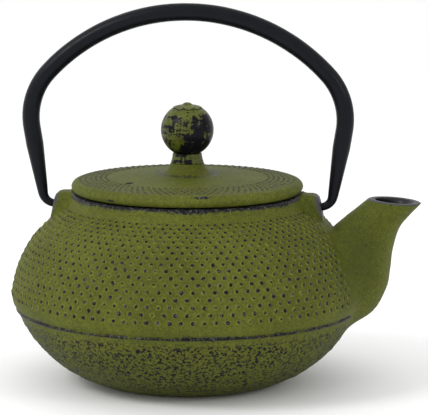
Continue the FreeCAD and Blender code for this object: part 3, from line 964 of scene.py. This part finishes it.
class Shader:
    """The nodes of a material or of the world, built up from short calls."""

    def __init__(self, name, kind=bpy.data.materials, surface="BSDF_PRINCIPLED"):
        self.owner = kind.new(name)
        self.owner.use_nodes = True
        self.tree = self.owner.node_tree
        self.surface = next(n for n in self.tree.nodes if n.type == surface)
        self.coords = self.node("TexCoord", {})
        # Noise is read off the object's middle planes, where its octaves all line up.
        self.moved = self.vector("ADD", self.coords["Object"], (0.1373, 0.2119, 0.1747))[0]

    def node(self, kind, inputs, **settings):
        """A new node's outputs. Its inputs are given by name or by number."""
        node = self.tree.nodes.new("ShaderNode" + kind)
        for key, value in settings.items():
            setattr(node, key, value)
        for key, value in inputs.items():
            self.put(node.inputs[key], value)
        return node.outputs

    def put(self, socket, value):
        if isinstance(value, bpy.types.NodeSocket):
            self.tree.links.new(value, socket)
        else:
            socket.default_value = value

    def set(self, **values):
        for key, value in values.items():
            self.put(self.surface.inputs[key.replace("_", " ")], value)
        return self.owner

    def vector(self, operation, *values):
        return self.node("VectorMath", dict(enumerate(values)), operation=operation)

    def noise(self, scale, detail=3.0, roughness=0.55, stretch=None):
        place = self.moved
        if stretch:
            place = self.node("Mapping", {"Vector": place, "Scale": stretch})[0]
        inputs = {"Vector": place, "Scale": scale, "Detail": detail, "Roughness": roughness}
        return self.node("TexNoise", inputs)["Fac"]

    def attribute(self, name):
        return self.node("Attribute", {}, attribute_name=name)["Fac"]

    def axis(self, index):
        return self.node("SeparateXYZ", {0: self.coords["Object"]})[index]

    def math(self, operation, first, *others):
        """One operation over all the values, from left to right."""
        for other in others:
            first = self.node("Math", {0: first, 1: other}, operation=operation)[0]
        return first

    plus = partialmethod(math, "ADD")
    minus = partialmethod(math, "SUBTRACT")
    times = partialmethod(math, "MULTIPLY")
    most = partialmethod(math, "MAXIMUM")

    def ramp(self, value, low, high, start=0.0, stop=1.0, kind="SMOOTHSTEP"):
        inputs = {"Value": value, "From Min": low, "From Max": high, "To Min": start,
                  "To Max": stop}
        return self.node("MapRange", inputs, interpolation_type=kind)["Result"]

    def mix(self, share, a, b):
        # The node has sockets for every type: 6 and 7 take its colours, 2 gives its colour.
        return self.node("Mix", {0: share, 6: a, 7: b}, data_type="RGBA")[2]

    def bump(self, height, distance, strength, below=None):
        inputs = {"Height": height, "Distance": distance, "Strength": strength}
        if below:
            inputs["Normal"] = below
        return self.node("Bump", inputs)["Normal"]

    def near(self, middle, reach):
        """1 at a point, falling smoothly to 0 at the given reach along each axis."""
        offset = self.vector("SUBTRACT", self.coords["Object"], middle)[0]
        scaled = self.vector("DIVIDE", offset, reach)[0]
        return self.ramp(self.vector("LENGTH", scaled)["Value"], 1.0, 0.15)


MOSS = (0.082, 0.095, 0.0080, 1.0)
MOSS_LIGHT = (0.112, 0.126, 0.014, 1.0)
MOSS_DARK = (0.028, 0.035, 0.0050, 1.0)
# the next colour serves for light flecks in the paint and for the painted highlight on the
# bumps' sides
MOSS_FLECK_AND_HIGHLIGHT = (0.190, 0.205, 0.022, 1.0)
BUMP_HIGHLIGHT_SHARE = 0.5  # of the painted highlight on the sides of the bumps
WORN_BLACK = (0.0060, 0.0055, 0.0085, 1.0)
WORN_GREY = (0.060, 0.060, 0.068, 1.0)
# the next colour gives lighter streaks where the paint is gone: partly the bare iron's own tone,
# partly painted highlight
BARE_GREY_AND_HIGHLIGHT = (0.078, 0.083, 0.072, 1.0)
# the middle and reach of the painted shade on the spout's flanks
SPOUT_SHADE_MIDDLE, SPOUT_SHADE_REACH = (0.0715, 0.0, 0.052), (0.0125, 1.0, 0.024)
LEVEL_STROKES, UPRIGHT_STROKES = (0.5, 0.5, 1.9), (1.9, 0.7, 0.4)


def green_paint(mat):
    """The paint's own colour, cloudy on a large and a small scale."""
    cloud = mat.ramp(mat.noise(28.0, 3.0), 0.32, 0.68)
    grain = mat.ramp(mat.noise(420.0, 4.0, 0.65), 0.3, 0.72)
    fine = mat.ramp(mat.noise(1300.0, 3.0, 0.7), 0.42, 0.64)
    base = mat.mix(cloud, MOSS, MOSS_LIGHT)
    base = mat.mix(mat.times(grain, 0.36), base, MOSS_DARK)
    base = mat.mix(mat.times(fine, 0.46), base, MOSS_DARK)
    bright = mat.ramp(mat.noise(1600.0, 2.0), 0.56, 0.70, 0.0, 0.34)
    return mat.mix(bright, base, MOSS_FLECK_AND_HIGHLIGHT)


def painted_iron():
    """Moss paint over black iron, worn off by the values that the meshes carry, with a painted
    highlight on the bumps' sides and painted shade on the spout's flanks.
    """
    mat = Shader("moss_paint_on_iron")
    tip, high, skin = (mat.attribute(name) for name in ("tip", "high", "skin"))
    # Painted highlight: the sides of each bump are lightened where they would catch the light.
    ring = mat.times(mat.ramp(tip, 0.06, 0.34), BUMP_HIGHLIGHT_SHARE)
    colour = mat.mix(ring, green_paint(mat), MOSS_FLECK_AND_HIGHLIGHT)
    # Painted shade: the paint is darkened on the flanks of the spout, where the spout leaves the
    # body.
    spout_shade = mat.times(mat.near(SPOUT_SHADE_MIDDLE, SPOUT_SHADE_REACH), 0.5)
    colour = mat.mix(spout_shade, colour, MOSS_DARK)
    worn = mat.ramp(mat.plus(tip, mat.noise(850.0, 2.0)), 0.81, 1.14)
    # The cast skin of the bowl: small lumps, each rubbed dark on top.
    lumps = mat.noise(840.0, 3.0, 0.6)
    rubbed = mat.times(mat.ramp(lumps, 0.505, 0.56), skin)
    patchy = mat.times(mat.minus(mat.noise(75.0, 3.0), 0.5), 1.5)
    proud = mat.plus(high, patchy, mat.times(mat.noise(650.0, 4.0, 0.7), 1.3))
    bare = mat.times(mat.ramp(proud, 0.96, 1.44), mat.ramp(high, 0.02, 0.2))
    pits = mat.ramp(mat.noise(640.0, 2.0), 0.69, 0.75, 0.0, 0.6)
    gone = mat.most(worn, bare, rubbed, pits)
    # Where the paint is gone, lighter grey streaks: partly the bare iron's own tone, partly
    # painted highlight on the bumps' tips and the ridge.
    bright = mat.times(mat.ramp(mat.noise(1050.0, 3.0, 0.6), 0.50, 0.66), mat.minus(1.0, rubbed))
    colour = mat.mix(gone, colour, mat.mix(bright, WORN_BLACK, BARE_GREY_AND_HIGHLIGHT))
    rim = mat.ramp(mat.noise(520.0, 4.0, 0.7), 0.30, 0.62, 0.6, 1.25)
    rim = mat.ramp(mat.times(mat.attribute("edge"), rim), 0.34, 0.86)
    colour = mat.mix(rim, colour, WORN_GREY)
    gone = mat.most(gone, rim)
    rough = mat.minus(mat.ramp(mat.noise(1500.0, 2.0), 0.25, 0.75, 0.56, 0.70),
                      mat.times(gone, 0.18))
    shine = mat.minus(0.14, mat.times(gone, 0.03))
    grain = mat.bump(mat.noise(1100.0, 4.0, 0.6), 0.00030, 0.8)
    waves = mat.bump(mat.noise(330.0, 2.0), 0.0003, 0.3, below=grain)
    normal = mat.bump(mat.times(lumps, skin), 0.0011, 0.8, below=waves)
    return mat.set(Base_Color=colour, Roughness=rough, Specular_IOR_Level=shine, Normal=normal)


def worn_iron(name, low_wear, side_wear):
    """The knob's finish: the same paint, gone in large patches. The wear grows downwards
    and to the right by the given amounts."""
    mat = Shader(name)
    across = mat.ramp(mat.axis(0), -0.006, 0.0075, 0.0, side_wear)
    below = mat.ramp(mat.axis(2), 0.1015, 0.0945, 0.0, low_wear)
    above = mat.ramp(mat.axis(2), 0.1085, 0.1110, 0.0, -0.35)
    strokes = mat.plus(*(mat.noise(230.0, 5.0, 0.66, stretch)
                         for stretch in (LEVEL_STROKES, UPRIGHT_STROKES)))
    patches = mat.plus(mat.minus(strokes, 0.5), above, across, below)
    gone = mat.most(mat.ramp(patches, 0.545, 0.575),
                    mat.ramp(mat.noise(760.0, 2.0), 0.58, 0.64),
                    # the edge value darkens the groove round the cap: painted shade
                    mat.ramp(mat.attribute("edge"), 0.3, 0.55))
    smear = mat.ramp(mat.noise(230.0, 4.0, 0.7), 0.58, 0.66, 1.0, 0.35)
    gone = mat.times(gone, smear)
    colour = mat.mix(gone, green_paint(mat), WORN_BLACK)
    rough = mat.minus(mat.ramp(mat.noise(1400.0), 0.3, 0.7, 0.38, 0.48), mat.times(gone, 0.16))
    shine = mat.minus(0.24, mat.times(gone, 0.16))
    grain = mat.bump(mat.noise(900.0, 3.0), 0.00012, 0.4)
    normal = mat.bump(mat.minus(1.0, gone), 0.00006, 0.6, below=grain)
    return mat.set(Base_Color=colour, Roughness=rough, Specular_IOR_Level=shine, Normal=normal)


def cloudy(name, colours, cloud, rough, bump, **values):
    """A plain finish between two colours. cloud and bump start with a noise's scale and
    detail; rough holds a noise's scale and detail, then the roughness from and to."""
    mat = Shader(name)
    return mat.set(
        Base_Color=mat.mix(mat.noise(*cloud), *((*colour, 1.0) for colour in colours)),
        Roughness=mat.ramp(mat.noise(*rough[:2]), 0.3, 0.7, *rough[2:]),
        Normal=mat.bump(mat.noise(*bump[:2]), *bump[2:]), **values)


def steel(name, *colours):
    return cloudy(name, colours, (300.0, 3.0), (900.0, 4.0, 0.24, 0.36),
                  (2200.0, 2.0, 0.00003, 0.4), Metallic=1.0)


# ---- pieces

paint = painted_iron()
lining = cloudy("black_enamel_lining", ((0.010, 0.010, 0.012), (0.026, 0.026, 0.031)),
                (240.0, 3.0), (600.0, 3.0, 0.30, 0.44), (700.0, 3.0, 0.0001, 0.35),
                Specular_IOR_Level=0.22)
bar = cloudy("satin_black_bar", ((0.0020, 0.0026, 0.0042), (0.0050, 0.0060, 0.0088)),
             (170.0, 4.0), (800.0, 3.0, 0.27, 0.42), (1300.0, 3.0, 0.00012, 0.6),
             Specular_IOR_Level=0.13)
knob_paint = worn_iron("worn_moss_paint", 0.16, 0.20)
neck_paint = worn_iron("rubbed_moss_paint", 0.05, 0.0)
sheet_steel = steel("satin_steel", (0.50, 0.50, 0.49), (0.64, 0.63, 0.61))
wire_steel = steel("woven_wire_steel", (0.44, 0.44, 0.43), (0.60, 0.60, 0.58))

for maker, name, materials, node, body, slot in (
        (build_pot(), "cast_pot", [paint, lining], "pot_body", "pot", "painted_iron"),
        (build_lid(), "cast_lid", [paint, lining], "lid", "lid", "painted_iron"),
        (build_knob(), "ball_knob", [knob_paint], "lid_knob", "lid", "worn_iron"),
        (build_neck(), "knob_collar", [neck_paint], "knob_neck", "lid", "worn_iron"),
        (build_bail(), "bail_bar", [bar], "bail_handle", "bail", "black_iron"),
        (build_mesh_wall(), "woven_wall", [wire_steel], "infuser_mesh_wall", "infuser",
         "steel_mesh"),
        (build_mesh_base(), "woven_base", [wire_steel], "infuser_mesh_base", "infuser",
         "steel_mesh")):
    piece = maker.piece(name, materials)
    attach(piece, body)
    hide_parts(node)

for node in ("knob_washer", "infuser_rim", "infuser_band"):
    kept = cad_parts[node]
    kept.data.materials.clear()
    kept.data.materials.append(sheet_steel)


# ---- floor, light and camera

FLOOR_REACH, FLOOR_LEVEL = 6.0, -0.0002
LIGHT_LEFT, LIGHT_RIGHT = 1.18, 0.85
CAMERA_DISTANCE, CAMERA_YAW = 1.0816, radians(5.5)
CAMERA_HEIGHT = 0.2405
LENS = 226.55
AIM = (0.0, 0.0, 0.040)
SHIFT = (0.0624, 0.175)


def stage_floor():
    mesh = bpy.data.meshes.new("floor")
    corners = ((-1, -1), (1, -1), (1, 1), (-1, 1))
    mesh.from_pydata([(x * FLOOR_REACH, y * FLOOR_REACH, FLOOR_LEVEL) for x, y in corners],
                     [], [(0, 1, 2, 3)])
    mat = Shader("pale_floor")
    mesh.materials.append(mat.set(Base_Color=(0.97, 0.97, 0.97, 1.0), Roughness=0.9))
    place_object("floor", mesh)


def aim_at(obj, place, aim):
    obj.location = place
    obj.rotation_euler = (Vector(aim) - Vector(place)).to_track_quat("-Z", "Y").to_euler()


def area_light(name, place, aim, size, power):
    data = bpy.data.lights.new(name, "AREA")
    data.shape = "DISK"
    data.size = size
    data.energy = power
    aim_at(place_object(name, data), place, aim)


def studio_light():
    """A pale surround, a little dimmer on the +X side, with a soft key from the left."""
    mat = Shader("studio", bpy.data.worlds, "BACKGROUND")
    bpy.context.scene.world = mat.owner
    side = mat.node("SeparateXYZ", {0: mat.coords["Generated"]})[0]
    fall = mat.ramp(side, -1.0, 1.0, LIGHT_LEFT, LIGHT_RIGHT, "LINEAR")
    mat.set(Strength=fall, Color=(1.0, 1.0, 1.0, 1.0))
    area_light("key", (-0.75, -0.55, 0.85), (0.0, 0.0, 0.05), 0.42, 4.5)
    area_light("side", (0.8, -0.5, 0.5), (0.0, 0.0, 0.06), 0.16, 1.1)


def place_camera():
    data = bpy.data.cameras.new("camera")
    data.lens = LENS
    data.sensor_width = 36.0
    data.shift_x, data.shift_y = SHIFT
    camera = place_object("camera", data)
    aim_at(camera, polar(CAMERA_DISTANCE, FRONT + CAMERA_YAW, CAMERA_HEIGHT), AIM)
    bpy.context.scene.camera = camera


stage_floor()
studio_light()
place_camera()
bpy.context.scene.view_settings.view_transform = "Standard"
